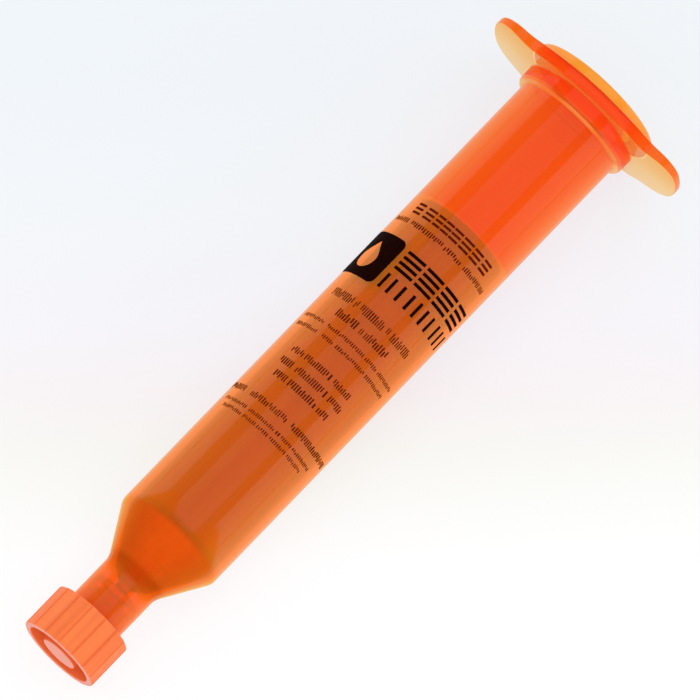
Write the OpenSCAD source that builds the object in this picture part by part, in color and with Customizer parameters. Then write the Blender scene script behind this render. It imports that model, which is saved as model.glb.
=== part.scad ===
// Solder mask syringe: an amber dispensing barrel filled with liquid solder mask.
// It lies on its side, as it comes to rest: on the edge of its finger flange and on
// the far end of its tube. The origin is on the ground under the middle of the part,
// +X runs along the barrel towards the outlet, the wings spread along Y, and +Z is up.
// Every module works on an upright barrel: its axis is Z, the top face of the flange
// is at z = 0, and z grows towards the outlet. lie_down() then lays the piece down.

/* [Tube and cone] */
// Outside diameter of the tube
tube_d = 18.4; // [17:0.1:20]
// Wall of the tube, measured square to it
tube_wall = 1.2; // [0.9:0.05:1.4]
// Length of the tube, from the collar to the corner where the cone starts
tube_len = 88.1; // [80:0.1:110]
// Slope of the cone's side from the axis, in degrees
cone_slope = 30; // [26:1:36]
// Radius of the bend from the tube into the cone
shoulder_bend_r = 2.4; // [1.8:0.1:4]
// Radius of the bend from the cone into the neck
throat_bend_r = 3.5; // [2:0.1:5]
// Radius at which the inside of the cone turns into its flatter floor
floor_r = 3.2; // [2.6:0.1:3.6]
// Slope of that floor from the axis, in degrees
floor_slope = 55; // [45:1:70]

/* [Finger flange and collar] */
// Width of the flange across both wings
flange_span = 36.9; // [32:0.1:42]
// Width of one wing
wing_w = 15.8; // [14:0.1:18]
// Radius of the rounded corners at a wing's end
wing_corner_r = 4.4; // [3:0.1:6]
// Width of the flange across its bulged middle
flange_mid_w = 22.7; // [21.6:0.1:23.4]
// Radius of the hollow bend where a wing leaves the middle
wing_root_r = 5.3; // [3:0.1:9]
// Thickness of the flange's middle
flange_t = 2; // [1.6:0.05:2.4]
// Thickness of a wing at its end
wing_end_t = 1.15; // [0.9:0.05:1.5]
// Distance from the axis at which a wing starts to get thinner
wing_taper_start = 10.6; // [10.5:0.1:12]
// Width of the flat spot in the middle of each bulged edge
edge_flat_w = 2; // [1:0.5:4]
// Diameter of the collar under the flange
collar_d = 20.5; // [20.2:0.1:21]
// Height of the collar
collar_h = 2.95; // [2:0.05:5]
// Radius of the collar's lower edge
collar_edge_r = 0.8; // [0.3:0.1:0.9]

/* [Outlet] */
// Outside diameter of the neck, which is the sleeve round the nozzle
neck_d = 9.4; // [9:0.1:10.4]
// Length of the neck below the cone
neck_len = 8.3; // [7:0.1:11]
// Inside diameter of the sleeve
sleeve_d = 7.9; // [7.6:0.05:8.2]
// Thickness of plastic between the cone's floor and the gap in the sleeve
root_web = 1.5; // [1:0.1:2.5]
// Diameter of the tapered nozzle at its tip
nozzle_tip_d = 3.95; // [3.9:0.01:4.1]
// Growth of the nozzle's diameter for each millimetre up from the tip
nozzle_taper = 0.06; // [0.05:0.005:0.07]
// Length by which the nozzle stands out of the sleeve
nozzle_out = 2; // [1:0.1:3]
// Diameter of the fluid's way through the nozzle
outlet_d = 2.4; // [1.6:0.1:2.6]

/* [Tip cap] */
// Diameter of the grip across its ribs
grip_d = 13.74; // [12.5:0.02:14.5]
// Width of the grip across its flats
grip_flats = 13.6; // [12.3:0.05:14.3]
// Length of the grip
grip_len = 7.75; // [6:0.05:10]
// Number of ribs round the grip
grip_ribs = 16; // [13:1:24]
// Turn of the grooves from the top of the lying tube towards +Y, in degrees
grip_turn = -3.3; // [-15:0.1:15]
// Radius of the groove between two ribs
groove_r = 0.3; // [0.15:0.05:0.5]
// Radius of the grip's two outer edges
grip_edge_r = 0.45; // [0.1:0.05:0.6]
// Wall of the grip's skirt
skirt_wall = 1.19; // [0.9:0.01:1.5]
// Thickness of the disc that closes the grip at the neck's side
grip_disc_t = 1.6; // [1:0.1:2.5]
// Diameter of the boss in the middle of the grip
boss_d = 6.12; // [5.9:0.02:6.6]
// Depth of the boss's face inside the grip's rim
boss_inset = 0.1; // [0:0.05:1]
// Diameter of the stem that reaches up into the neck
stem_d = 6.6; // [6:0.1:7]
// Length of the stem
stem_len = 3.5; // [2.5:0.1:4.5]
// Height of the two lugs on the stem that catch in the neck
lug_h = 0.9; // [0.5:0.1:1.5]
// Arc that one lug takes of the stem's round, in degrees
lug_arc = 50; // [20:1:80]
// Room between the lugs and the inside of the neck
lug_clearance = 0.1; // [0.05:0.01:0.15]
// Room between the nozzle and the cap's tapered socket
socket_clearance = 0.06; // [0.03:0.01:0.1]
// Depth of the socket past the nozzle's tip
socket_past_tip = 2.2; // [1:0.1:3]
// Gap between the end of the neck and the grip
tip_seat_gap = 0.08; // [0.02:0.01:0.3]

/* [End cap] */
// Step from the edge of the flange's middle in to the edge of the end cap's disc
cap_step = 0.05; // [0.05:0.05:0.4]
// Thickness of the disc
cap_t = 1.6; // [1.2:0.1:2.5]
// Radius of the disc's upper edge
cap_edge_r = 0.4; // [0.2:0.05:0.8]
// Diameter of the shallow dish in the top of the disc
dish_d = 14; // [8:0.5:17]
// Depth of that dish
dish_depth = 0.4; // [0.1:0.05:0.6]
// Length of the plug that reaches into the tube
plug_len = 5.5; // [4:0.1:8]
// Wall of the plug
plug_wall = 1.05; // [0.8:0.05:1.4]
// Height of the chamfer that leads the plug in
plug_lead = 0.5; // [0.2:0.1:1]
// Room between the plug and the tube
plug_clearance = 0.05; // [0.02:0.01:0.1]
// Gap between the disc and the flange
cap_seat_gap = 0.03; // [0.02:0.01:0.2]

/* [Piston and fluid] */
// Distance from the flange's top face down to the surface of the fluid
fill_level = 28.35; // [20:0.05:60]
// Length of the piston
piston_len = 6; // [5:0.1:10]
// Thickness of the piston's face
piston_face_t = 1.2; // [0.8:0.1:2]
// Wall of the piston's skirt
piston_wall = 0.95; // [0.8:0.05:1.4]
// Height of each of the two wiping lips
lip_h = 0.8; // [0.5:0.1:1.5]
// Depth by which the skirt lies back between the lips
lip_relief = 0.2; // [0.1:0.05:0.4]
// Room between a lip and the tube
piston_clearance = 0.05; // [0.02:0.01:0.1]
// Length of fluid that stands in the nozzle
outlet_fill = 0.9; // [0.5:0.1:3]

/* [Print] */
// Thickness of the ink
ink_t = 0.04; // [0.02:0.01:0.05]
// Distance from the flange's top face to the first line of print
print_start = 30; // [29:0.1:36]
// Turn of the print from the top of the lying tube towards +Y, in degrees
print_turn = 1.8; // [-10:0.1:10]
// Length of one unit of the print's layout
print_unit = 1; // [0.85:0.01:1.05]
// Width of the dark square field, along the arc
field_w = 9.3; // [7:0.1:10]
// Height of the dark square field
field_h = 8.5; // [7:0.1:10]
// Radius of the field's corners
field_corner_r = 1.1; // [0.5:0.1:2]
// Radius of the drop left open in the field
drop_r = 2; // [1:0.1:2.2]
// Gap between two bars of a large mark
bar_gap = 0.55; // [0.3:0.05:0.7]

/* [Hidden] */
$fn = 96;

tube_r = tube_d / 2;
bore_r = tube_r - tube_wall;
collar_r = collar_d / 2;
neck_r = neck_d / 2;
sleeve_r = sleeve_d / 2;
outlet_r = outlet_d / 2;
grip_r = grip_d / 2;
boss_r = boss_d / 2;
stem_r = stem_d / 2;
cap_r = flange_mid_w / 2 - cap_step;

collar_end = flange_t + collar_h;
cone_start = collar_end + tube_len;
cone_end = cone_start + (tube_r - neck_r) / tan(cone_slope);
neck_end = cone_end + neck_len;
nozzle_end = neck_end + nozzle_out;

// Where the inside of the cone is r wide, and where its floor meets the outlet
function cone_inside(r) = cone_start + (tube_r - tube_wall / cos(cone_slope) - r) / tan(cone_slope);
floor_start = cone_inside(floor_r);
floor_end = floor_start + (floor_r - outlet_r) / tan(floor_slope);
sleeve_root = floor_end + root_web;

// Radius of the tapered nozzle at height z
function nozzle_r(z) = (nozzle_tip_d + nozzle_taper * (nozzle_end - z)) / 2;

grip_start = neck_end + tip_seat_gap;
grip_end = grip_start + grip_len;
stem_start = grip_start - stem_len;
socket_end = nozzle_end + socket_past_tip;

cap_under = -cap_seat_gap;
cap_top = cap_under - cap_t;
plug_r = bore_r - plug_clearance;

piston_start = fill_level - piston_len;
lip_r = bore_r - piston_clearance;
over = 1; // how far a cutting solid reaches past what it cuts

// Half the distance between the rounded corners of a wing, and along the span
corner_x = wing_w / 2 - wing_corner_r;
corner_y = sqrt(pow(flange_span / 2 - wing_corner_r, 2) - corner_x * corner_x);
tip_share = (flange_span / 2) / (flange_span / 2 - wing_corner_r);
// The middle bulges by an arc that runs smoothly into the hollow bend at each wing
bulge_rise = (flange_mid_w - wing_w) / 2;
bend_sum = (bulge_rise * bulge_rise + corner_y * corner_y) / (2 * bulge_rise);
bulge_r = bend_sum - wing_root_r;
root_centre_x = wing_w / 2 + wing_root_r;
bulge_centre_x = flange_mid_w / 2 - bulge_r;
bend_meet_x = bulge_centre_x + (root_centre_x - bulge_centre_x) * bulge_r / bend_sum;
bend_meet_y = corner_y * bulge_r / bend_sum;
// Half the width between the two flat spots
rest_w = bulge_centre_x + sqrt(bulge_r * bulge_r - edge_flat_w * edge_flat_w / 4);

// The barrel rests on the flange's lower edge and on the tube just before its bend
shoulder_start = cone_start - shoulder_bend_r * tan(cone_slope / 2);
lean = atan((rest_w - tube_r) / (shoulder_start - flange_t));
axis_h = rest_w * cos(lean) + flange_t * sin(lean);
seam_turn = 2.9; // turns the moulding's seam line clear of the line on which the tube rests
mid_x = (grip_end * cos(lean) + (grip_r - grip_edge_r) * sin(lean)
    + cap_top * cos(lean) - (cap_r - cap_edge_r) * sin(lean)) / 2;

// The print's lines, in units of its layout: start down the tube, height, and the ends of
// each mark along the arc, counted from the centre line. Small lines have whole marks.
small_lines = [
    [3.1, 0.85, [[-11.2, -7.6], [-6.7, -3.7], [-3.4, -0.2], [0.3, 3.7], [4.5, 8.8], [9.2, 10.6]]],
    [18.1, 1.4, [[-8.9, -7.5], [-7.3, -5.9], [-5.7, -4.3], [-3.7, -3.2], [-2.5, -1.2], [-1, 0.5],
        [0.7, 2], [2.7, 3.2], [3.9, 4.9], [5.2, 6.5], [6.8, 8.2]]],
    [20.75, 1.35, [[-5, -3.9], [-3.7, -2.5], [-2.2, -1], [-0.2, 0.3], [0.8, 2.1], [2.3, 3.9],
        [4.2, 5.4]]],
    [23.7, 0.65, [[-10.7, -5.5], [-4.5, -2.3], [-2, 2.8], [3.3, 5.8], [6.4, 11.1]]],
    [25.5, 0.65, [[-10.6, -5.3], [-4, -1.9], [-1.2, 0.7], [1, 4.7], [5.2, 10.5]]],
    [29.4, 1.05, [[-6.3, -4], [-3.5, 0.9], [1.3, 1.6], [2.3, 5.8]]],
    [31.7, 1.15, [[-6.6, -5.4], [-5.2, -4.1], [-3.2, 2], [2.5, 2.8], [3.5, 6.3]]],
    [34, 1.15, [[-5.6, -4.4], [-4.2, -3.2], [-2.6, 2.1], [2.5, 2.8], [3.4, 5.4]]],
    [38.7, 1.05, [[-11.9, -10.7], [-10.5, -9.3], [-9.1, -7.7], [-6.1, -5.1], [-4.9, -3.9],
        [-3.6, -2.5], [-2.2, -1.3], [-1, -0.1], [0.2, 1.2], [2.3, 3.4], [3.6, 4.7], [4.9, 5.9],
        [6.1, 7.1], [7.3, 8.5], [8.7, 9.9], [10.1, 11.1], [11.3, 12.7]]],
    [41.3, 0.6, [[-10.2, -4.9], [-4.2, -2.2], [-2, 0.8], [1.3, 2], [2.4, 4.5], [4.9, 9.9]]],
    [42.6, 0.6, [[-9.2, -4.8], [-4.2, -1.8], [-1.4, 0.7], [1.2, 4.5], [5, 6.7], [7, 8.7]]],
];
// Large marks are stacks of bars: two in the heading, three in the first bold line
heading = [0, 2, [[-8.5, -6.7], [-6, -4.2], [-3.8, -2.4], [-2.2, -0.7], [-0.5, 1.2],
    [1.5, 3.5], [3.8, 5.7], [6.2, 8.1]]];
first_bold = [7.3, 3.6, [[-3.25, 0.2], [0.7, 4.1], [4.6, 8], [8.7, 12.2]]];
// Each mark of the second bold line is a pair of uprights
second_bold = [11.95, 2.7, [[-3.25, -1.2], [0.05, 2.45], [3.55, 5.65], [6.75, 9.2], [10.3, 12.5]]];
// Top of the dark field, and its left edge, in the same units
field_top = 6.6;
field_left = -13.5;

// Points on an arc about (x, y), from angle a to angle b
function arc(x, y, r, a, b, n = 12) =
    [for (i = [0:n]) let (t = a + (b - a) * i / n) [x + r * cos(t), y + r * sin(t)]];

// Angle of one of the grip's grooves; the lying tube's top is at 180 degrees
function groove_angle(i) = 180 - grip_turn + 360 * i / grip_ribs;

// Angle that a length along the tube's round takes
function arc_deg(length) = length / tube_r * 180 / PI;

module lie_down() {
    translate([-mid_x, 0, axis_h]) rotate([0, 90 + lean, 0]) children();
}

// The space that the fluid fills, as a profile from z = top to the end of the outlet
function cavity(top, end) = concat(
    [[0, top], [bore_r, top]],
    arc(tube_r - shoulder_bend_r, shoulder_start,
        shoulder_bend_r - tube_wall, 0, cone_slope, 6),
    [[floor_r, floor_start], [outlet_r, floor_end], [outlet_r, end], [0, end]]
);

module flange_outline() {
    // One sector of the round end between each wing's two corners
    for (end = [-1, 1])
        intersection() {
            circle(d = flange_span, $fn = 180);
            polygon([
                [0, 0],
                end * 2 * tip_share * [corner_x, corner_y],
                end * 2 * tip_share * [-corner_x, corner_y],
            ]);
        }
    for (x = [-corner_x, corner_x], y = [-corner_y, corner_y])
        translate([x, y]) circle(wing_corner_r);
    square([wing_w, 2 * corner_y], center = true);
    // The bulged middle, between two wide arcs
    intersection() {
        translate([bulge_centre_x, 0]) circle(bulge_r, $fn = 180);
        translate([-bulge_centre_x, 0]) circle(bulge_r, $fn = 180);
        square([2 * rest_w, 2 * bend_meet_y], center = true);
    }
    // The hollow bends that lead from the middle into the wings
    difference() {
        square([2 * bend_meet_x, 2 * corner_y], center = true);
        for (x = [-root_centre_x, root_centre_x], y = [-corner_y, corner_y])
            translate([x, y]) circle(wing_root_r);
    }
}

// The wings get thinner towards their ends, on the side of the collar
module flange() {
    half_span = flange_span / 2;
    intersection() {
        linear_extrude(flange_t) flange_outline();
        rotate([90, 0, 90])
            linear_extrude(flange_mid_w + 2 * over, center = true)
                polygon([
                    [-half_span - over, 0], [half_span + over, 0],
                    [half_span + over, wing_end_t], [half_span, wing_end_t],
                    [wing_taper_start, flange_t], [-wing_taper_start, flange_t],
                    [-half_span, wing_end_t], [-half_span - over, wing_end_t],
                ]);
    }
}

module barrel_outside() {
    rotate(seam_turn) rotate_extrude()
        polygon(concat(
            [[0, 0], [collar_r, 0]],
            arc(collar_r - collar_edge_r, collar_end - collar_edge_r, collar_edge_r, 0, 90, 8),
            [[tube_r, collar_end]],
            arc(tube_r - shoulder_bend_r, shoulder_start, shoulder_bend_r, 0, cone_slope),
            arc(neck_r + throat_bend_r, cone_end + throat_bend_r * tan(cone_slope / 2),
                throat_bend_r, 180 + cone_slope, 180),
            [[neck_r, neck_end], [0, neck_end]]
        ));
}

module nozzle() {
    translate([0, 0, sleeve_root - root_web / 2])
        cylinder(h = nozzle_end - sleeve_root + root_web / 2,
            r1 = nozzle_r(sleeve_root - root_web / 2), r2 = nozzle_r(nozzle_end));
}

module barrel() {
    color("orangered")
        difference() {
            union() {
                difference() {
                    union() {
                        flange();
                        barrel_outside();
                    }
                    translate([0, 0, sleeve_root])
                        cylinder(h = neck_len + over, r = sleeve_r);
                }
                nozzle();
            }
            rotate_extrude() polygon(cavity(-over, nozzle_end + over));
        }
}

module fluid_fill() {
    color("chocolate")
        rotate_extrude() polygon(cavity(fill_level, floor_end + outlet_fill));
}

module piston() {
    back = piston_start;
    front = fill_level;
    relief_r = lip_r - lip_relief;
    color([1, 0.6, 0.35])
        rotate_extrude()
            polygon([
                [0, front], [lip_r, front], [lip_r, front - lip_h],
                [relief_r, front - lip_h - lip_relief],
                [relief_r, back + lip_h + lip_relief],
                [lip_r, back + lip_h], [lip_r, back],
                [relief_r - piston_wall, back],
                [relief_r - piston_wall, front - piston_face_t],
                [0, front - piston_face_t],
            ]);
}

module end_cap() {
    plug_end = cap_under + plug_len;
    color("orange")
        difference() {
            rotate_extrude()
                polygon(concat(
                    [[0, cap_top]],
                    arc(cap_r - cap_edge_r, cap_top + cap_edge_r, cap_edge_r, -90, 0, 8),
                    [
                        [cap_r, cap_under], [plug_r, cap_under],
                        [plug_r, plug_end - plug_lead],
                        [plug_r - plug_lead / 2, plug_end],
                        [plug_r - plug_wall, plug_end],
                        [plug_r - plug_wall, cap_under], [0, cap_under],
                    ]
                ));
            translate([0, 0, cap_top - over])
                cylinder(h = over + dish_depth, d = dish_d);
        }
}

module grip() {
    difference() {
        intersection() {
            rotate_extrude()
                polygon(concat(
                    [[0, grip_start]],
                    arc(grip_r - grip_edge_r, grip_start + grip_edge_r, grip_edge_r, -90, 0, 6),
                    arc(grip_r - grip_edge_r, grip_end - grip_edge_r, grip_edge_r, 0, 90, 6),
                    [[0, grip_end]]
                ));
            // A flat between each two grooves
            translate([0, 0, grip_start])
                linear_extrude(grip_len)
                    polygon([
                        for (i = [0:grip_ribs - 1])
                            grip_flats / 2 / cos(180 / grip_ribs)
                                * [cos(groove_angle(i)), sin(groove_angle(i))]
                    ]);
        }
        for (i = [0:grip_ribs - 1])
            rotate(groove_angle(i))
                translate([grip_r + groove_r / 2, 0, grip_start - over])
                    cylinder(h = grip_len + 2 * over, r = groove_r, $fn = 24);
        // The hollow round the boss
        translate([0, 0, grip_start + grip_disc_t])
            difference() {
                cylinder(h = grip_len, r = grip_r - skirt_wall);
                translate([0, 0, -over]) cylinder(h = grip_len + 2 * over, r = boss_r);
            }
        translate([0, 0, grip_end - boss_inset])
            cylinder(h = over, r = boss_r + boss_inset);
    }
}

module stem() {
    translate([0, 0, stem_start]) cylinder(h = stem_len + grip_disc_t, r = stem_r);
    for (side = [0, 180])
        rotate(side - lug_arc / 2)
            rotate_extrude(angle = lug_arc)
                polygon([
                    [stem_r / 2, stem_start], [sleeve_r - lug_clearance, stem_start],
                    [sleeve_r - lug_clearance, stem_start + lug_h],
                    [stem_r / 2, stem_start + lug_h],
                ]);
}

module tip_cap() {
    socket_top = stem_start - over;
    color("coral")
        difference() {
            union() {
                grip();
                stem();
            }
            // The tapered socket that closes round the nozzle
            translate([0, 0, socket_top])
                cylinder(h = socket_end - socket_top,
                    r1 = nozzle_r(socket_top) + socket_clearance,
                    r2 = nozzle_r(socket_end) + socket_clearance);
        }
}

// One mark on the tube's skin: from left to right along the arc, h high from z
module mark(left, right, z, h) {
    rotate(180 - print_turn - arc_deg(right))
        rotate_extrude(angle = arc_deg(right - left))
            translate([tube_r, z]) square([ink_t, h]);
}

// A line whose marks are stacks of bars
module barred_line(line, bars) {
    line_start = print_start + line[0] * print_unit;
    bar_h = (line[1] * print_unit - (bars - 1) * bar_gap) / bars;
    for (ends = line[2] * print_unit, i = [0:bars - 1])
        mark(ends[0], ends[1], line_start + i * (bar_h + bar_gap), bar_h);
}

// A line whose marks are pairs of uprights
module paired_line(line) {
    line_start = print_start + line[0] * print_unit;
    line_h = line[1] * print_unit;
    for (ends = line[2] * print_unit) {
        upright_w = (ends[1] - ends[0] - bar_gap) / 2;
        mark(ends[0], ends[0] + upright_w, line_start, line_h);
        mark(ends[1] - upright_w, ends[1], line_start, line_h);
    }
}

module drop() {
    point_up = 1.6 * drop_r; // from the drop's centre to its point
    lean_in = asin(drop_r / point_up);
    circle(drop_r, $fn = 48);
    polygon([
        [0, -point_up],
        drop_r * [cos(lean_in), -sin(lean_in)],
        drop_r * [-cos(lean_in), -sin(lean_in)],
    ]);
}

// The dark field: a square with round corners and an open drop, wrapped on the tube
module dark_field() {
    chord = 2 * tube_r * sin(arc_deg(field_w) / 2);
    corner_at_x = chord / 2 - field_corner_r;
    corner_at_z = field_h / 2 - field_corner_r;
    field_start = print_start + field_top * print_unit;
    rotate(180 - print_turn - arc_deg(field_left * print_unit + field_w / 2))
        intersection() {
            translate([0, 0, field_start])
                rotate_extrude() translate([tube_r, 0]) square([ink_t, field_h]);
            translate([tube_r / 2, 0, field_start + field_h / 2])
                rotate([90, 0, 90])
                    linear_extrude(tube_r)
                        difference() {
                            union() {
                                square([chord, 2 * corner_at_z], center = true);
                                square([2 * corner_at_x, field_h], center = true);
                                for (x = [-corner_at_x, corner_at_x])
                                    for (y = [-corner_at_z, corner_at_z])
                                        translate([x, y]) circle(field_corner_r, $fn = 32);
                            }
                            translate([0, drop_r / 3]) drop();
                        }
        }
}

module ink_print() {
    color([0.16, 0.07, 0.03]) {
        dark_field();
        barred_line(heading, 2);
        barred_line(first_bold, 3);
        paired_line(second_bold);
        for (line = small_lines)
            barred_line(line, 1);
    }
}

lie_down() barrel();
lie_down() fluid_fill();
lie_down() piston();
lie_down() end_cap();
lie_down() tip_cap();
lie_down() ink_print();
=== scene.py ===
# %% [markdown]
# # Solder mask syringe
#
# A see-through amber dispensing barrel full of liquid solder mask lies on a white table.
# The script loads the CAD model, whose bodies move in the physics, and draws a finer visual
# piece over each of its parts. Every surface is a numpy grid of points made from a short
# list of real sizes in millimetres.

# %% Import the tools and load the CAD model
import math

import bpy
import numpy as np
from mathutils import Matrix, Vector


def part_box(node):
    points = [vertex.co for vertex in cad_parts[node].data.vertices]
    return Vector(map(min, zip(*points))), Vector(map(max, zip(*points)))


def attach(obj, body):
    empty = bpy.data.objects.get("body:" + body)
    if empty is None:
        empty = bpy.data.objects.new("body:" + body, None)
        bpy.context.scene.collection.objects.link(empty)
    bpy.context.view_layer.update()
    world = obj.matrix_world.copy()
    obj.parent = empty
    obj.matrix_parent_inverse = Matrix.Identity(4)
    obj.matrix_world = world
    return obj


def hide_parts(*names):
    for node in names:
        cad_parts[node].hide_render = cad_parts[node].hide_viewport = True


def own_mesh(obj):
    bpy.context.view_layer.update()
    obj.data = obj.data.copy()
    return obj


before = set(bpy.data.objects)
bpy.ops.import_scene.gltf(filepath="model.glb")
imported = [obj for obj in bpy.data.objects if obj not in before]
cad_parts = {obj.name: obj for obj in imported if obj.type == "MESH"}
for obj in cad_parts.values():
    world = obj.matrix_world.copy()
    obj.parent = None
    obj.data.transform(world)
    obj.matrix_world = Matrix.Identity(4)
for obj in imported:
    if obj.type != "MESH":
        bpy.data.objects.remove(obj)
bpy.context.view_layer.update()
rng = np.random.default_rng(7)

# %% [markdown]
# ## Sizes
#
# All are in millimetres on an upright barrel: its axis is z, the top face of the finger
# flange is at z = 0, and z grows towards the outlet. The wings of the flange lie along y.
# Sizes could sit in each piece's code as bare numbers, but a name says what was measured,
# and one change then reaches all pieces that meet there.

# %% Tube, cone and neck
TUBE_R = 9.2
WALL = 1.2
BORE_R = TUBE_R - WALL
CONE_SLOPE = math.radians(30)
SHOULDER_BEND = 2.4
THROAT_BEND = 3.5
CONE_START = 93.05
NECK_R = 4.7
CONE_END = CONE_START + (TUBE_R - NECK_R) / math.tan(CONE_SLOPE)
NECK_END = CONE_END + 8.3
SHOULDER_START = CONE_START - SHOULDER_BEND * math.tan(CONE_SLOPE / 2)
# The cone's wall is as thick as the tube's, which is more when measured across the axis
CONE_WALL = WALL / math.cos(CONE_SLOPE)
INNER_CONE_START = CONE_START + (WALL - CONE_WALL) / math.tan(CONE_SLOPE)

# %% Finger flange and collar
FLANGE_T = 2.0
FLANGE_EDGE = 0.3
WING_END_T = 1.15
WING_TAPER = 10.6
EDGE_FLAT = 2.0
SPAN = 36.9
WING_W = 15.8
WING_CORNER = 4.4
MIDDLE_W = 22.7
ROOT_BEND = 5.3
COLLAR_R = 10.25
COLLAR_END = 4.95
COLLAR_ROOT_R = COLLAR_R + 0.3

# %% Nozzle, the sleeve with its two-start thread, and the floor above the outlet
SLEEVE_R = 3.95
NOZZLE_END = NECK_END + 2
NOZZLE_TIP_D = 3.95
NOZZLE_TAPER = 0.06
OUTLET_R = 1.2
FLOOR_R = 3.2
FLOOR_SLOPE = math.radians(55)
FLOOR_START = CONE_START + (TUBE_R - CONE_WALL - FLOOR_R) / math.tan(CONE_SLOPE)
FLOOR_END = FLOOR_START + (FLOOR_R - OUTLET_R) / math.tan(FLOOR_SLOPE)
SLEEVE_ROOT = FLOOR_END + 1.5
THREAD_PITCH = 2.5
THREAD_DEPTH = 0.3

# %% Fluid, tip cap and print
FILL_LEVEL = 28.35
GRIP_START = NECK_END + 0.08
GRIP_END = GRIP_START + 7.75
GRIP_R = 6.87
GRIP_BEND = 0.45
PRINT_START = 30.0
PRINT_TURN = math.radians(1.8)


def nozzle_r(z):
    """Radius of the tapered nozzle: 3.95 mm across at its tip, 6 parts in 100 wider above."""
    return (NOZZLE_TIP_D + NOZZLE_TAPER * (NOZZLE_END - z)) / 2


print("the cone ends at", CONE_END, "the neck at", NECK_END, "and the tip cap at", GRIP_END)

# %% [markdown]
# ## How the barrel lies
#
# The flange's middle is an arc tangent to the bends at the wings' roots, with a small flat
# at each side. The barrel lies on one flat and on the far end of its tube, so it leans a
# little. Its pieces could be built upright and turned as objects, but the export puts each
# object at the origin. So the place is in the mesh, and one function turns the points.

# %% Lean, height and place along the table
CORNER_Y = math.sqrt((SPAN / 2 - WING_CORNER) ** 2 - (WING_W / 2 - WING_CORNER) ** 2)
RISE = (MIDDLE_W - WING_W) / 2
BULGE = (RISE**2 + CORNER_Y**2) / (2 * RISE) - ROOT_BEND
BULGE_X = MIDDLE_W / 2 - BULGE
REST_W = BULGE_X + math.sqrt(BULGE**2 - (EDGE_FLAT / 2) ** 2)
LEAN = math.atan((REST_W - TUBE_R) / (SHOULDER_START - FLANGE_T))
AXIS_H = REST_W * math.cos(LEAN) + FLANGE_T * math.sin(LEAN)
# Where the tip cap ends in the CAD model fixes the place along the table
_, TIP_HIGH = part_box("tip_cap")
TIP_X = GRIP_END * math.cos(LEAN) + (GRIP_R - GRIP_BEND) * math.sin(LEAN)
MID_X = TIP_X - TIP_HIGH.x * 1000
ALONG = np.array([math.cos(LEAN), 0, -math.sin(LEAN)])
DOWN = np.array([-math.sin(LEAN), 0, -math.cos(LEAN)])
ACROSS = np.array([0.0, 1.0, 0.0])
print("lean in degrees", math.degrees(LEAN), "axis height", AXIS_H, "middle", MID_X)


def lie(points):
    """Turns upright millimetres into lying metres: x goes down, y stays, z runs along."""
    p = np.asarray(points, float)
    out = p[..., 0:1] * DOWN + p[..., 1:2] * ACROSS + p[..., 2:3] * ALONG
    return (out + [-MID_X, 0, AXIS_H]) / 1000


# %% [markdown]
# ## Surfaces from grids
#
# A turned piece starts as a line of corners (r, z, bend). The corners are rounded, the line
# is swept round the axis, and each row of points is joined to the next by four-sided faces.
# The Screw modifier with a bevel would give much the same, but here each row stays known,
# so a groove can be pressed into it and a finish can be given to it.


# %% Round the corners of an outline
def soften(*corners, n=6):
    """Rounds the corners of a line. Each corner is (r, z, bend), and a bend of radius b
    leaves both sides at b times the tangent of half the turning angle. A quarter turn gets
    about n steps."""
    pts = [np.array(c[:2], float) for c in corners]
    out = [pts[0][None]]
    for i in range(1, len(pts) - 1):
        bend = corners[i][2] if len(corners[i]) > 2 else 0
        u, v = pts[i - 1] - pts[i], pts[i + 1] - pts[i]
        u, v = u / np.linalg.norm(u), v / np.linalg.norm(v)
        turn = math.pi - math.acos(float(np.clip(u @ v, -1, 1)))
        if bend <= 0 or turn < 1e-3:
            out.append(pts[i][None])
            continue
        back = bend * math.tan(turn / 2)
        mid = (u + v) / np.linalg.norm(u + v)
        centre = pts[i] + mid * bend / math.cos(turn / 2)
        start, end = pts[i] + u * back - centre, pts[i] + v * back - centre
        steps = np.linspace(0, 1, max(2, int(n * turn / 1.57 + 2)))[:, None]
        swing = np.sin((1 - steps) * turn) * start + np.sin(steps * turn) * end
        out.append(centre + swing / math.sin(turn))
    out.append(pts[-1][None])
    return np.concatenate(out)


# %% Points and faces into a mesh
SMOOTH_ANGLE = math.radians(32)


def make_mesh(name, points, quads):
    """One mesh object from points in upright millimetres and faces. The faces are turned
    outward: the sum of the signed volumes between each triangle and the origin, a times the
    cross product of b and c, has to be positive."""
    points = np.asarray(points, float)
    mesh = bpy.data.meshes.new(name)
    faces = [list(map(int, f)) for f in quads]
    volume = 0.0
    for n in set(map(len, faces)):
        same = points[[f for f in faces if len(f) == n]]
        for k in range(1, n - 1):
            volume += np.sum(same[:, 0] * np.cross(same[:, k], same[:, k + 1]))
    if volume < 0:
        faces = [f[::-1] for f in faces]
    mesh.from_pydata(lie(points).tolist(), [], faces)
    mesh.validate()
    mesh.polygons.foreach_set("use_smooth", [True] * len(mesh.polygons))
    mesh.set_sharp_from_angle(angle=SMOOTH_ANGLE)
    mesh.update()
    obj = bpy.data.objects.new(name, mesh)
    bpy.context.scene.collection.objects.link(obj)
    print(name, len(mesh.vertices), "points", len(mesh.polygons), "faces")
    return obj


def grid_faces(rows, cols, wrap_rows):
    """Quads of a grid of points that closes on itself along its columns, and with
    wrap_rows along its rows too."""
    i = np.arange(rows if wrap_rows else rows - 1)[:, None]
    j = np.arange(cols)[None]
    a, b = i * cols + j, i * cols + (j + 1) % cols
    c, d = (i + 1) % rows * cols + (j + 1) % cols, (i + 1) % rows * cols + j
    return np.stack([a, b, c, d], -1).reshape(-1, 4)


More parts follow.
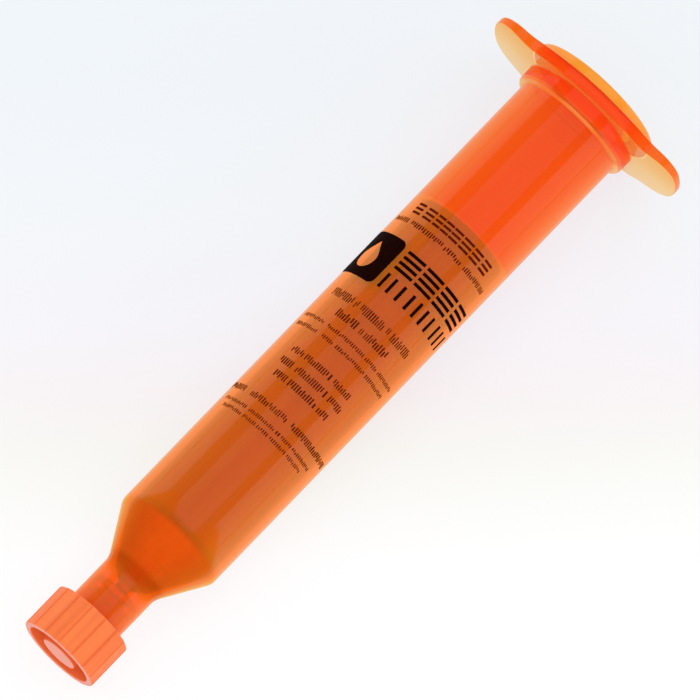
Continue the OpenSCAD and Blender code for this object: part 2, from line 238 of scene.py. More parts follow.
def ring_surface(name, stacks, ring=False):
    """A closed surface from stacks of loops, each (rows, columns, 3). With ring the last
    loop joins the first; otherwise each end is closed by one face."""
    loops = np.concatenate(stacks)
    rows, cols = loops.shape[:2]
    faces = grid_faces(rows, cols, ring).tolist()
    if not ring:
        faces.append(list(range(cols))[::-1])
        faces.append([(rows - 1) * cols + j for j in range(cols)])
    return make_mesh(name, loops.reshape(-1, 3), faces)


# %% Turned surfaces
ROUND = np.linspace(0, 2 * math.pi, 192, endpoint=False)
# A turned line starts this close to the axis, where one small face closes the surface
POLE_R = 0.01


def turned(profile, angles, radius=None):
    """Loops of a turned shape: each profile point (r, z) swept round at the angles.
    radius(r, z, angles) may change the radius round the loop."""
    loops = []
    for r, z in profile:
        around = np.full(len(angles), r) if radius is None else radius(r, z, angles)
        loops.append(
            np.stack([around * np.cos(angles), around * np.sin(angles), 0 * angles + z], -1)
        )
    return np.array(loops)


def lathe(name, *corners):
    """A piece turned from the softened corners of its outline, which starts and ends at
    the axis."""
    return ring_surface(name, [turned(soften(*corners), ROUND)])


# %% [markdown]
# ## The finger flange's outline
#
# A quarter of the outline is four arcs: the bulged middle, the hollow bend at the wing's
# root, the wing's corner, and the round end of both wings. Each runs smoothly into the next.
# A drawn curve could be pulled into that shape, but arcs keep the real radii.


# %% Outline from arcs
def flange_outline(step=0.25):
    """Points and outward normals round the whole outline, about one step apart."""
    corner_x = WING_W / 2 - WING_CORNER
    meet = math.atan2(CORNER_Y, WING_W / 2 + ROOT_BEND - BULGE_X)
    tip = math.atan2(CORNER_Y, corner_x)
    # Centre, radius, first and last angle, and 1 where the arc bulges outward
    pieces = [
        (BULGE_X, 0, BULGE, 0, meet, 1),
        (WING_W / 2 + ROOT_BEND, CORNER_Y, ROOT_BEND, math.pi + meet, math.pi, -1),
        (corner_x, CORNER_Y, WING_CORNER, 0, tip, 1),
        (0, 0, SPAN / 2, tip, math.pi / 2, 1),
    ]
    pts, normals = [], []
    for cx, cy, r, a, b, side in pieces:
        n = max(4, int(abs(b - a) * r / step))
        t = np.linspace(a, b, n, endpoint=False)
        radial = np.stack([np.cos(t), np.sin(t)], -1)
        pts.append([cx, cy] + r * radial)
        normals.append(side * radial)
    quarter, quarter_n = np.concatenate(pts), np.concatenate(normals)
    quarter[:, 0] = np.minimum(quarter[:, 0], REST_W)
    # The first point lies on the x axis; the mirror images fill the other quarters
    top, top_n = np.array([[0, SPAN / 2]]), np.array([[0.0, 1.0]])
    half = np.concatenate([quarter, top, (quarter[1:] * [-1, 1])[::-1]])
    half_n = np.concatenate([quarter_n, top_n, (quarter_n[1:] * [-1, 1])[::-1]])
    return np.concatenate([half, -half]), np.concatenate([half_n, -half_n])


OUTLINE, OUTLINE_N = flange_outline()
AROUND = np.arctan2(OUTLINE[:, 1], OUTLINE[:, 0])
print("flange outline", len(OUTLINE), "points")

# %% [markdown]
# ## The barrel
#
# Flange, collar, tube, cone, neck, sleeve, nozzle and bore are one moulding, so they are
# one closed surface: a stack of loops that runs out over the flange, down the outside,
# round the sleeve and nozzle, and back up through the bore. Joining cylinders by booleans
# would leave slivers at each joint, which show in clear plastic. One grid has none.


# %% Loops over the flange
def under_face(y):
    """Height of the flange's underside: 2 mm in the middle, thinning along the wings."""
    share = np.clip((np.abs(y) - WING_TAPER) / (SPAN / 2 - WING_TAPER), 0, 1)
    return FLANGE_T - (FLANGE_T - WING_END_T) * share


def flange_loops():
    """Loops over the flange: its top face, rounded edge, side and underside. On the faces a
    loop is a share of the way from a circle to the outline drawn in by the edge's bend."""
    circle = np.stack([np.cos(AROUND), np.sin(AROUND)], -1)
    drawn_in = OUTLINE - OUTLINE_N * FLANGE_EDGE
    loops = []
    for share in (0.35, 0.7):
        flat = BORE_R * circle * (1 - share) + drawn_in * share
        loops.append(np.column_stack([flat, 0 * AROUND]))
    bend = np.linspace(0, math.pi / 2, 6)
    rim = [(FLANGE_EDGE * (1 - math.sin(a)), FLANGE_EDGE * (1 - math.cos(a))) for a in bend]
    for inset, z in rim:
        loops.append(np.column_stack([OUTLINE - OUTLINE_N * inset, 0 * AROUND + z]))
    for inset, z in reversed(rim):
        flat = OUTLINE - OUTLINE_N * inset
        loops.append(np.column_stack([flat, under_face(flat[:, 1]) - z]))
    for share in np.linspace(0.95, 0.1, 14):
        flat = COLLAR_ROOT_R * circle * (1 - share) + drawn_in * share
        loops.append(np.column_stack([flat, under_face(flat[:, 1])]))
    return np.array(loops)


# %% Thread groove in the sleeve
def sleeve_thread(r, z, angles):
    """The sleeve's inside carries a thread groove with two starts and 5 mm of lead, so its
    turns are 2.5 mm apart. The wall lies back by the groove's depth where the turn along the
    helix is near a whole number, and the groove fades out at both ends."""
    phase = (z - SLEEVE_ROOT) / THREAD_PITCH - angles / math.pi
    near = np.abs(phase - np.round(phase))
    fade_out = np.clip((NECK_END - 0.4 - z) / 0.6, 0, 1)
    fade_in = np.clip((z - SLEEVE_ROOT - 0.3) / 0.6, 0, 1)
    return r + THREAD_DEPTH * fade_out * fade_in * np.clip(1.8 - near / 0.16, 0, 1)


# %% The whole moulding
outside = soften(
    (COLLAR_ROOT_R, FLANGE_T),
    (COLLAR_R, FLANGE_T, 0.25),
    (COLLAR_R, COLLAR_END, 0.8),
    (TUBE_R, COLLAR_END, 0.25),
    (TUBE_R, CONE_START, SHOULDER_BEND),
    (NECK_R, CONE_END, THROAT_BEND),
    (NECK_R, NECK_END, 0.12),
    (SLEEVE_R, NECK_END, 0.12),
    (SLEEVE_R, NECK_END - 0.3),
    n=14,
)
thread = [(SLEEVE_R, z) for z in np.linspace(NECK_END - 0.35, SLEEVE_ROOT + 0.3, 34)]
inside = soften(
    (SLEEVE_R, SLEEVE_ROOT + 0.25),
    (SLEEVE_R, SLEEVE_ROOT, 0.15),
    (nozzle_r(SLEEVE_ROOT), SLEEVE_ROOT, 0.2),
    (nozzle_r(NOZZLE_END), NOZZLE_END, 0.15),
    (OUTLET_R, NOZZLE_END, 0.15),
    (OUTLET_R, FLOOR_END, 0.4),
    (FLOOR_R, FLOOR_START, 0.5),
    (BORE_R, INNER_CONE_START, 1.2),
    (BORE_R, 0, 0.2),
    (BORE_R + 0.3, 0),
    n=10,
)
over_flange = flange_loops()
barrel = ring_surface(
    "barrel_moulding",
    [
        over_flange,
        turned(outside, AROUND),
        turned(thread, AROUND, sleeve_thread),
        turned(inside, AROUND),
    ],
    ring=True,
)
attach(barrel, "barrel")
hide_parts("barrel")

# %% [markdown]
# ## The fluid
#
# Two pieces: the column in the tube, which gets shorter as the piston comes down, and the
# rest in the cone and nozzle. A fluid simulation would have nothing to show in a full tube.
# Two turned solids are enough, and one of them can be squashed along the axis. Both stay a
# hair inside the plastic, as two surfaces in one place would flicker.

# %% Column and cone of fluid
HAIR = 0.03
# The fluid and the piston's face stay this far off the level between them
TOUCH = 0.01
NOZZLE_FILL_END = FLOOR_END + 0.85
column = lathe(
    "fluid_column",
    (POLE_R, FILL_LEVEL + TOUCH),
    (BORE_R - HAIR, FILL_LEVEL + TOUCH, 0.3),
    (BORE_R - HAIR, SHOULDER_START),
    (POLE_R, SHOULDER_START),
)
cone_fluid = lathe(
    "fluid_in_cone",
    (POLE_R, SHOULDER_START),
    (BORE_R - HAIR, SHOULDER_START),
    (BORE_R - HAIR, CONE_START - 0.2, 1.2),
    (FLOOR_R - HAIR, FLOOR_START, 0.5),
    (OUTLET_R - HAIR, FLOOR_END, 0.4),
    (OUTLET_R - HAIR, NOZZLE_FILL_END, 0.2),
    (POLE_R, NOZZLE_FILL_END),
)
for piece in (column, cone_fluid):
    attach(piece, "barrel")
    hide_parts("fluid_fill")
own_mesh(column)

# %% [markdown]
# ## The piston
#
# A thin wiper with two lips that slide on the bore and a hollow back that lets them bend.
# Its face lies on the fluid. It is turned, as the real one's mould is.

# %% Piston wiper
LIP_R = BORE_R - 0.05
WAIST_R = LIP_R - 0.2
SKIRT_R = LIP_R - 1.15
FACE = FILL_LEVEL - TOUCH
HOLLOW = FILL_LEVEL - 1.2
BACK = FILL_LEVEL - 6
piston = lathe(
    "piston_wiper",
    (POLE_R, FACE),
    (LIP_R, FACE, 0.15),
    (LIP_R, FILL_LEVEL - 0.8, 0.12),
    (WAIST_R, FILL_LEVEL - 1.0, 0.2),
    (WAIST_R, BACK + 1.0, 0.2),
    (LIP_R, BACK + 0.8, 0.12),
    (LIP_R, BACK, 0.15),
    (SKIRT_R, BACK, 0.2),
    (SKIRT_R, HOLLOW, 0.5),
    (POLE_R, HOLLOW),
)
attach(piston, "piston")
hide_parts("piston")

# %% [markdown]
# ## The end cap
#
# A disc with a rounded edge and a shallow dish, and a thin plug that snaps into the tube.
# Disc and plug are one moulding, so one outline carries both.

# %% Disc and plug
CAP_R = MIDDLE_W / 2 - 0.05
CAP_UNDER = -0.03
CAP_TOP = CAP_UNDER - 1.6
DISH_R = 7.0
DISH_FLOOR = CAP_TOP + 0.4
PLUG_R = BORE_R - 0.05
PLUG_IN = PLUG_R - 1.05
PLUG_END = CAP_UNDER + 5.5
end_cap = lathe(
    "end_cap_disc",
    (POLE_R, DISH_FLOOR),
    (DISH_R, DISH_FLOOR, 0.3),
    (DISH_R, CAP_TOP, 0.15),
    (CAP_R, CAP_TOP, 0.4),
    (CAP_R, CAP_UNDER, 0.12),
    (PLUG_R, CAP_UNDER, 0.1),
    (PLUG_R, PLUG_END - 0.5, 0.3),
    (PLUG_R - 0.25, PLUG_END, 0.15),
    (PLUG_IN, PLUG_END, 0.15),
    (PLUG_IN, CAP_UNDER, 0.5),
    (POLE_R, CAP_UNDER),
)
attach(end_cap, "end_cap")
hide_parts("end_cap")

# %% [markdown]
# ## The tip cap
#
# Sixteen flats with a fine groove between each two make the grip. Round the loop the grip's
# radius is the lesser of a circle and a flat, less the groove. Two lugs stand on the stem.
# Sixteen cutters and a boolean would do it too, but a radius that changes with the angle
# keeps the surface closed and the edges clean.

# %% Radius of the ribbed grip
RIBS = 16
FLAT_R = 6.8
GROOVE_R = 0.3
GRIP_TURN = math.radians(180 + 3.3)
# The points round one rib lie closer together at the groove in its middle. Each stretch is
# (start, end, points), in ribs
STRETCHES = ((-0.5, -0.13, 8), (-0.13, 0.13, 15), (0.13, 0.5, 8))
per_rib = np.concatenate([np.linspace(*stretch, endpoint=False) for stretch in STRETCHES])
RIB_ANGLES = (np.arange(RIBS)[:, None] + per_rib[None]).ravel() * 2 * math.pi / RIBS + GRIP_TURN


def grip_radius(r, z, angles):
    """The grip's radius round the loop. inset is how far this loop is drawn in from the
    full grip by the rounding of its edges."""
    inset = GRIP_R - r
    turn = (angles - GRIP_TURN + math.pi / RIBS) % (2 * math.pi / RIBS) - math.pi / RIBS
    flat = FLAT_R / np.cos(math.pi / RIBS - np.abs(turn))
    out = np.minimum(flat, GRIP_R) - inset
    centre = GRIP_R + GROOVE_R / 2
    inside_groove = GROOVE_R**2 - (centre * np.sin(turn)) ** 2
    hollow = centre * np.cos(turn) - np.sqrt(np.maximum(inside_groove, 0))
    return np.where(inside_groove > 0, np.minimum(out, hollow), out)


# %% Stem with two lugs
STEM_R = 3.3
STEM_START = GRIP_START - 3.5
LUG_HALF = math.radians(25)
LUG_ROOM = 0.1
SOCKET_END = NOZZLE_END + 2.2
SOCKET_ROOM = 0.06
BOSS_R = 3.06
FACE_FLOOR = GRIP_START + 1.6
SKIRT_IN = GRIP_R - 1.19


def stem_radius(r, z, angles):
    """The stem's radius, with two lugs of 50 degrees and 0.1 mm of room in the sleeve."""
    turn = np.abs((angles + math.pi / 2) % math.pi - math.pi / 2)
    lug = np.clip((LUG_HALF - turn) / 0.06, 0, 1)
    return r + (SLEEVE_R - LUG_ROOM - r) * lug


# %% The whole tip cap
face = soften(
    (POLE_R, GRIP_END - 0.1),
    (BOSS_R, GRIP_END - 0.1, 0.12),
    (BOSS_R, FACE_FLOOR, 0.3),
    (SKIRT_IN, FACE_FLOOR, 0.3),
    (SKIRT_IN, GRIP_END, 0.2),
    (GRIP_R - 0.55, GRIP_END),
)
grip_side = soften(
    (GRIP_R - 0.5, GRIP_END),
    (GRIP_R, GRIP_END, GRIP_BEND),
    (GRIP_R, GRIP_START, GRIP_BEND),
    (GRIP_R - 0.5, GRIP_START),
)
under = soften(
    (GRIP_R - 0.55, GRIP_START),
    (STEM_R, GRIP_START, 0.3),
    (STEM_R, STEM_START + 1.05),
)
lugs = [(STEM_R, STEM_START + up) for up in (0.9, 0.85, 0.1, 0)]
socket = soften(
    (nozzle_r(STEM_START) + 0.2, STEM_START),
    (nozzle_r(STEM_START) + SOCKET_ROOM, STEM_START, 0.1),
    (nozzle_r(SOCKET_END) + SOCKET_ROOM, SOCKET_END, 0.3),
    (POLE_R, SOCKET_END),
)
tip_cap = ring_surface(
    "tip_cap_moulding",
    [
        turned(face, RIB_ANGLES),
        turned(grip_side, RIB_ANGLES, grip_radius),
        turned(under, RIB_ANGLES),
        turned(lugs, RIB_ANGLES, stem_radius),
        turned(socket, RIB_ANGLES),
    ],
)
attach(tip_cap, "tip_cap")
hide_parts("tip_cap")

# %% [markdown]
# ## The print
#
# The marks of the CAD model are drawn finer: stacks of bars, pairs of uprights, and in the
# small lines rows of fine strokes of changing height, so that a line looks printed from a
# step away but says nothing. Each line is (start along the tube, height, marks), and each
# mark is (left, right) along the tube's round, all in millimetres. An image could carry the
# print, but a film with real edges stays sharp from any distance.

# %% Places of the marks
SMALL_LINES = [
    (3.1, 0.85, [(-11.2, -7.6), (-6.7, -3.7), (-3.4, -0.2), (0.3, 3.7), (4.5, 8.8), (9.2, 10.6)]),
    (18.1, 1.4, [(-8.9, -7.5), (-7.3, -5.9), (-5.7, -4.3), (-3.7, -3.2), (-2.5, -1.2), (-1, 0.5),
                 (0.7, 2), (2.7, 3.2), (3.9, 4.9), (5.2, 6.5), (6.8, 8.2)]),
    (20.75, 1.35, [(-5, -3.9), (-3.7, -2.5), (-2.2, -1), (-0.2, 0.3), (0.8, 2.1), (2.3, 3.9),
                   (4.2, 5.4)]),
    (23.7, 0.65, [(-10.7, -5.5), (-4.5, -2.3), (-2, 2.8), (3.3, 5.8), (6.4, 11.1)]),
    (25.5, 0.65, [(-10.6, -5.3), (-4, -1.9), (-1.2, 0.7), (1, 4.7), (5.2, 10.5)]),
    (29.4, 1.05, [(-6.3, -4), (-3.5, 0.9), (1.3, 1.6), (2.3, 5.8)]),
    (31.7, 1.15, [(-6.6, -5.4), (-5.2, -4.1), (-3.2, 2), (2.5, 2.8), (3.5, 6.3)]),
    (34, 1.15, [(-5.6, -4.4), (-4.2, -3.2), (-2.6, 2.1), (2.5, 2.8), (3.4, 5.4)]),
    (38.7, 1.05, [(-11.9, -10.7), (-10.5, -9.3), (-9.1, -7.7), (-6.1, -5.1), (-4.9, -3.9),
                  (-3.6, -2.5), (-2.2, -1.3), (-1, -0.1), (0.2, 1.2), (2.3, 3.4), (3.6, 4.7),
                  (4.9, 5.9), (6.1, 7.1), (7.3, 8.5), (8.7, 9.9), (10.1, 11.1), (11.3, 12.7)]),
    (41.3, 0.6, [(-10.2, -4.9), (-4.2, -2.2), (-2, 0.8), (1.3, 2), (2.4, 4.5), (4.9, 9.9)]),
    (42.6, 0.6, [(-9.2, -4.8), (-4.2, -1.8), (-1.4, 0.7), (1.2, 4.5), (5, 6.7), (7, 8.7)]),
]
HEADING = (0, 2, [(-8.5, -6.7), (-6, -4.2), (-3.8, -2.4), (-2.2, -0.7), (-0.5, 1.2),
                  (1.5, 3.5), (3.8, 5.7), (6.2, 8.1)])
FIRST_BOLD = (7.3, 3.6, [(-3.25, 0.2), (0.7, 4.1), (4.6, 8), (8.7, 12.2)])
SECOND_BOLD = (11.95, 2.7, [(-3.25, -1.2), (0.05, 2.45), (3.55, 5.65), (6.75, 9.2), (10.3, 12.5)])
# Lines lower than this are drawn with the finer stroke
LOW_LINE = 0.7
STROKE_W, FINE_STROKE_W, STROKE_GAP = 0.21, 0.17, 0.22
# The film of ink lies on the tube's skin between these two radii
INK_IN, INK_OUT = TUBE_R + 0.002, TUBE_R + 0.03


# %% Marks as thin films on the tube
def on_tube(arc_mm, z, r):
    """A point of the print: arc_mm along the tube's round from the centre line, z down it."""
    turn = math.pi - PRINT_TURN - np.asarray(arc_mm) / TUBE_R
    return np.stack([r * np.cos(turn), r * np.sin(turn), 0 * turn + PRINT_START + z], -1)


def film(rects):
    """Closed thin boxes on the tube's skin, one for each (left, right, start, end). Each is
    four rows of points along its edges, joined by faces, and a face at either end."""
    pts, faces, count = [], [], 0
    for left, right, z0, z1 in rects:
        n = max(1, int((right - left) / 0.6)) + 1
        a = np.linspace(left, right, n)
        edges = ((INK_OUT, z0), (INK_OUT, z1), (INK_IN, z1), (INK_IN, z0))
        pts.append(np.concatenate([on_tube(a, z, r) for r, z in edges]))
        rows = [count + k * n + np.arange(n) for k in range(4)]
        for one, other in zip(rows, rows[1:] + rows[:1]):
            faces += np.stack([one[:-1], one[1:], other[1:], other[:-1]], -1).tolist()
        faces.append([row[0] for row in rows])
        faces.append([row[-1] for row in rows[::-1]])
        count += 4 * n
    return np.concatenate(pts), faces


# %% Bars, uprights and strokes
def strokes(line, width, gap):
    """Fine upright strokes in each mark of a line. Each stroke fills the mark's height, or
    its upper or lower part, by chance."""
    start, height, marks = line
    rects = []
    for left, right in marks:
        n = max(1, round((right - left + gap) / (width + gap)))
        w = (right - left - (n - 1) * gap) / n
        for k in range(n):
            x = left + k * (w + gap)
            a, b = rng.choice([(0, 1), (0, 0.72), (0.28, 1), (0, 1)])
            rects.append((x, x + w, start + a * height, start + b * height))
    return rects


def bars(line, count, gap):
    """Each mark of a line as a stack of bars."""
    start, height, marks = line
    h = (height - (count - 1) * gap) / count
    return [
        (left, right, start + k * (h + gap), start + k * (h + gap) + h)
        for left, right in marks
        for k in range(count)
    ]


def uprights(line, w):
    """Each mark of a line as a pair of uprights."""
    start, height, marks = line
    out = []
    for left, right in marks:
        out += [(left, left + w, start, start + height), (right - w, right, start, start + height)]
    return out


# %% The dark field with its drop
# The dark field's place and size in the same millimetres, and the radius of its drop. The
# tip lies DROP_TIP radii above the drop's centre, which is a little below the field's.
FIELD_LEFT, FIELD_TOP = -13.5, 6.6
FIELD_W, FIELD_H, FIELD_CORNER = 9.3, 8.5, 1.1
DROP_R = 2.0
DROP_TIP = 1.6
DROP_SHIFT = DROP_R / 3


def dark_field():
    """The dark field: a square with round corners and an open drop. Both outlines are
    walked by the same angles about the drop's centre, and the film spans between them."""
    t = np.linspace(0, 2 * math.pi, 240, endpoint=False)
    d = np.stack([np.cos(t), np.sin(t)], -1)

    def reach(inside_of):
        """The edge of a shape in each direction, found by halving the range 40 times."""
        lo, hi = np.zeros(len(t)), np.full(len(t), FIELD_W)
        for _ in range(40):
            mid = (lo + hi) / 2
            ok = inside_of(d * mid[:, None] + [0, DROP_SHIFT])
            lo, hi = np.where(ok, mid, lo), np.where(ok, hi, mid)
        return d * lo[:, None] + [0, DROP_SHIFT]

    def in_square(p):
        """A point is in when it is within a corner's radius of the square's core."""
        q = np.abs(p) - [FIELD_W / 2 - FIELD_CORNER, FIELD_H / 2 - FIELD_CORNER]
        return np.linalg.norm(np.maximum(q, 0), axis=1) < FIELD_CORNER

    def in_drop(p):
        """A point is in the drop's circle, or between the two lines that touch it and meet
        at the tip. The sine of their slope is 1 over the tip's distance in radii."""
        q = p - [0, DROP_SHIFT]
        slope = math.asin(1 / DROP_TIP)
        below_tip = DROP_TIP * DROP_R + q[:, 1]
        above = (below_tip > 0) & (q[:, 1] < -DROP_R * math.sin(slope))
        wedge = above & (np.abs(q[:, 0]) < below_tip * math.tan(slope))
        return (np.linalg.norm(q, axis=1) < DROP_R) | wedge

    outer, inner = reach(in_square), reach(in_drop)
    centre_arc, centre_z = FIELD_LEFT + FIELD_W / 2, FIELD_TOP + FIELD_H / 2
    shares = np.linspace(0, 1, 9)
    loops = []
    for r, way in ((INK_OUT, shares), (INK_IN, shares[::-1])):
        for share in way:
            p = inner * (1 - share) + outer * share
            loops.append(on_tube(centre_arc + p[:, 0], centre_z + p[:, 1], r))
    return ring_surface("ink_dark_field", [loops], ring=True)


# %% The three pieces of ink
bold_ink = make_mesh(
    "ink_bold_lines", *film(bars(FIRST_BOLD, 4, 0.5) + uprights(SECOND_BOLD, 0.52))
)
fine_rects = bars(HEADING, 3, 0.42)
for line in SMALL_LINES:
    fine_rects += strokes(line, STROKE_W if line[1] > LOW_LINE else FINE_STROKE_W, STROKE_GAP)
fine_ink = make_mesh("ink_fine_lines", *film(fine_rects))
field_ink = dark_field()
for piece in (bold_ink, fine_ink, field_ink):
    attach(piece, "barrel")
    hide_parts("ink_print")

# %% [markdown]
# ## Colours and nodes
#
# A material in Blender is a graph of nodes. Each could be placed by hand, but a graph from
# code can be read and repeated. Colours are written as they look on a screen, and Blender
# counts in linear light, so one function turns them. One other function adds a node.


# %% Written colours, and the function that adds a node
def hex_colour(text):
    """Linear red, green, blue, alpha from a written colour: each channel c up to 0.04045
    is c / 12.92, and above that it is ((c + 0.055) / 1.055) to the power 2.4."""
    c = [int(text[i : i + 2], 16) / 255 for i in (1, 3, 5)]
    return [x / 12.92 if x <= 0.04045 else ((x + 0.055) / 1.055) ** 2.4 for x in c] + [1.0]


def node_adder(tree):
    """Empties a node tree and returns the function that adds a node to it. What the inputs
    get comes as a list in their order or a dict by their names or numbers: a socket to
    link, a written colour or plain numbers. Settings come by name. It returns the first
    output, the one that out names, or with out=None all outputs."""
    tree.nodes.clear()

    def add(kind, inputs=(), out=0, **settings):
        node = tree.nodes.new("ShaderNode" + kind)
        for key, value in settings.items():
            setattr(node, key, value)
        pairs = inputs.items() if isinstance(inputs, dict) else enumerate(inputs)
        for socket, value in pairs:
            if isinstance(value, bpy.types.NodeSocket):
                tree.links.new(value, node.inputs[socket])
            elif isinstance(value, str):
                node.inputs[socket].default_value = hex_colour(value)
            else:
                node.inputs[socket].default_value = value
        return node.outputs if out is None else node.outputs[out]

    return add


def material(name):
    """An empty node material and its add-node function."""
    mat = bpy.data.materials.new(name)
    mat.use_nodes = True
    return mat, node_adder(mat.node_tree)


def dress(mat, *pieces):
    """Gives the pieces the material, in their next slot."""
    for piece in pieces:
        piece.data.materials.append(mat)
    print(mat.name, len(mat.node_tree.nodes), "nodes, on", [piece.name for piece in pieces])


# Settings that many nodes share: a range that eases in and out, and a mix of two colours,
# whose inputs are 0 for the share, 6 and 7 for the colours
SMOOTH = {"interpolation_type": "SMOOTHSTEP"}
COLOURS = {"data_type": "RGBA", "out": 2}
print("orange is", np.round(hex_colour("#FF8A22"), 3), "in linear light")

# %% [markdown]
# ## Patterns in millimetres
#
# Streaks and grain on the real mouldings follow the mould and not the table. Generated or
# world coordinates would slide over a piece when it moves. So each pattern starts from the
# Object coordinates, turned back to the upright barrel, and its size is in millimetres.


# %% Where a point lies on the upright barrel
def upright_mm(add, stretch=(1, 1, 1)):
    """The place on the piece in the upright barrel's millimetres, times a stretch. The
    lying place is turned back by a quarter turn and the lean."""
    origin = np.array([MID_X, 0, -AXIS_H])
    turned_back = add(
        "Mapping",
        {
            "Vector": add("TexCoord", out="Object"),
            "Location": [float(v @ origin) for v in (DOWN, ACROSS, ALONG)],
            "Rotation": (0, -math.pi / 2 - LEAN, 0),
            "Scale": (1000, 1000, 1000),
        },
    )
    return add("Mapping", {"Vector": turned_back, "Scale": stretch})


def upright_place(add):
    """The x, y and z of that place, to be picked by name."""
    return add("SeparateXYZ", [upright_mm(add)], out=None)


def mottle(add, grain_mm, low, high, stretch=(1, 1, 1), detail=3.0):
    """Noise with grains of a size, whose usual values run from low to high."""
    place = upright_mm(add, [k / grain_mm for k in stretch])
    grain = add("TexNoise", {"Vector": place, "Scale": 1.0, "Detail": detail}, out="Fac")
    return add("MapRange", [grain, 0.25, 0.75, low, high], clamp=False)


# %% Shares that tell one part of a moulding from another
# The middle line of the barrel's upper side is turned this far towards +Y
MIDDLE_TURN = math.radians(8.0)


def off_middle(add, place):
    """Degrees round the barrel between a place and the middle line of its upper side."""
    minus_x = add("Math", [place["X"], -1.0], operation="MULTIPLY")
    turn = add("Math", [place["Y"], minus_x], operation="ARCTAN2")
    off = add("Math", [turn, MIDDLE_TURN], operation="SUBTRACT")
    off = add("Math", [off], operation="ABSOLUTE")
    return add("Math", [off, math.degrees(1)], operation="MULTIPLY")


def end_on(add):
    """How squarely a face looks along the barrel: the dot product of its normal and the
    axis without its sign, 1 on flat ends and 0 on the tube."""
    normal = add("NewGeometry", out="Normal")
    dot = add("VectorMath", [normal, ALONG], out="Value", operation="DOT_PRODUCT")
    return add("Math", [dot], operation="ABSOLUTE")


def between(add, value, start, full, last, end):
    """1 while the value is between full and last, falling smoothly to 0 at start and end."""
    rising = add("MapRange", [value, start, full], **SMOOTH)
    falling = add("MapRange", [value, last, end, 1, 0], **SMOOTH)
    return add("Math", [rising, falling], operation="MULTIPLY")


def changed(add, value, share, change):
    """The value times (1 + change times share)."""
    factor = add("Math", [share, change, 1.0], operation="MULTIPLY_ADD")
    return add("Math", [value, factor], operation="MULTIPLY")


# %% [markdown]
# ## Clear plastic
#
# The barrel and its end cap are moulded in clear coloured plastic. A glass shader with
# absorption would be the full answer, but it is slow and noisy through so many thin walls.
# Here a wall is a mixture. One share of the light, the haze, is scattered by the plastic in
# its solid colour. The rest goes through and takes the tint once at each wall. Gloss lies
# over both, with the share that a smooth plastic reflects at each angle of view.


# %% Clear plastic, and its two plain kinds
def clear_plastic(add, tint, solid, haze, roughness, ior, skin=None):
    """Haze and gloss are on the outer side only, as the inner side of the same wall would
    count them twice. skin is a further factor on the gloss."""
    near = add("Math", [1.0, add("NewGeometry", out="Backfacing")], operation="SUBTRACT")
    share = add("Math", [haze, near], operation="MULTIPLY", use_clamp=True)
    wall = add("MixShader", [share, add("BsdfTransparent", [tint]), add("BsdfDiffuse", [solid])])
    mirror = add("Math", [add("Fresnel", [ior]), near], operation="MULTIPLY")
    if skin:
        mirror = add("Math", [mirror, skin], operation="MULTIPLY")
    gloss = add("BsdfGlossy", {"Roughness": roughness})
    add("OutputMaterial", [add("MixShader", [mirror, wall, gloss])], out=None)


def see_through(name, tint, solid, least, most, roughness, ior):
    """A wall whose haze goes from least, looked at squarely, to most at a glance, as the
    way through it gets longer: by 1 less the cosine of the angle of view."""
    mat, add = material(name)
    facing = add("LayerWeight", [0.5], out="Facing")
    haze = add("Math", [facing, most - least, least], operation="MULTIPLY_ADD")
    haze = add("Math", [haze, mottle(add, 2.5, -0.02, 0.02)], operation="ADD")
    rough = mottle(add, 1.5, roughness * 0.8, roughness * 1.3)
    clear_plastic(add, tint, solid, haze, rough, ior)
    return mat


def clear_skin(name, tint):
    """The inner side of a clear wall, which only tints what goes through it."""
    mat, add = material(name)
    add("OutputMaterial", [add("BsdfTransparent", [tint])], out=None)
    return mat


# %% [markdown]
# ## Moulded amber polypropylene
#
# The barrel is polypropylene with an amber dye that keeps out ultraviolet light, moulded in
# a polished steel mould. The eye gets a deep orange with long sharp reflections on the tube
# and a soft satin cone, where the mould wasn't polished. One even colour would look like a
# toy, so the finish is worked out from the place on the moulding. That includes painted
# shade on the collar under the flange, a painted highlight on the collar's rounded edge by
# the tube, and painted light on the wings' faces towards the table.

# %% Where the mould's polish ends and starts again
# Degrees off the middle line, and the height where the polish ends before the shoulder and
# where it starts again at the neck
GLOSS_END = [(0, 91.6), (12, 91.3), (19, 89.3), (25, 88.1), (40, 90.2), (56, 93.2), (63, 96),
             (67, 112), (90, 112)]
GLOSS_START = [(0, 101.9), (20, 102.2), (30, 103), (90, 101)]
POLISH_FADE = 0.7


def polish_edge(add, degrees, knots):
    """The height of the polish's edge at each angle, on a smooth curve through the knots,
    which start at 0 degrees. The curve node works from 0 to 1 both ways, so the angles are
    divided by the last, and the heights are stretched back."""
    x, y = np.array(knots, float).T
    low, span = float(y.min()), float(y.max() - y.min())
    share = add("Math", [degrees, float(x[-1])], operation="DIVIDE")
    height = add("FloatCurve", {"Value": share})
    mapping = height.node.mapping
    points = mapping.curves[0].points
    places = np.stack([x / x[-1], (y - low) / span], -1)
    points[0].location, points[-1].location = places[0], places[-1]
    for place in places[1:-1]:
        points.new(*place)
    for point in points:
        point.handle_type = "AUTO_CLAMPED"
    mapping.update()
    return add("Math", [height, span, low], operation="MULTIPLY_ADD")


def polish(add, z, degrees):
    """The share of full gloss on the barrel: 1 before the first edge and after the second,
    0 on the satin between, and a little less low on the tube's sides."""
    past_end = add("Math", [z, polish_edge(add, degrees, GLOSS_END)], operation="SUBTRACT")
    past_start = add("Math", [z, polish_edge(add, degrees, GLOSS_START)], operation="SUBTRACT")
    before = add("MapRange", [past_end, -POLISH_FADE, POLISH_FADE, 1, 0], **SMOOTH)
    after = add("MapRange", [past_start, -POLISH_FADE, POLISH_FADE], **SMOOTH)
    skin = add("Math", [before, after], operation="MAXIMUM")
    sides = add("MapRange", [degrees, 52, 72, 1, 0.78], **SMOOTH)
    return add("Math", [skin, sides], operation="MULTIPLY")


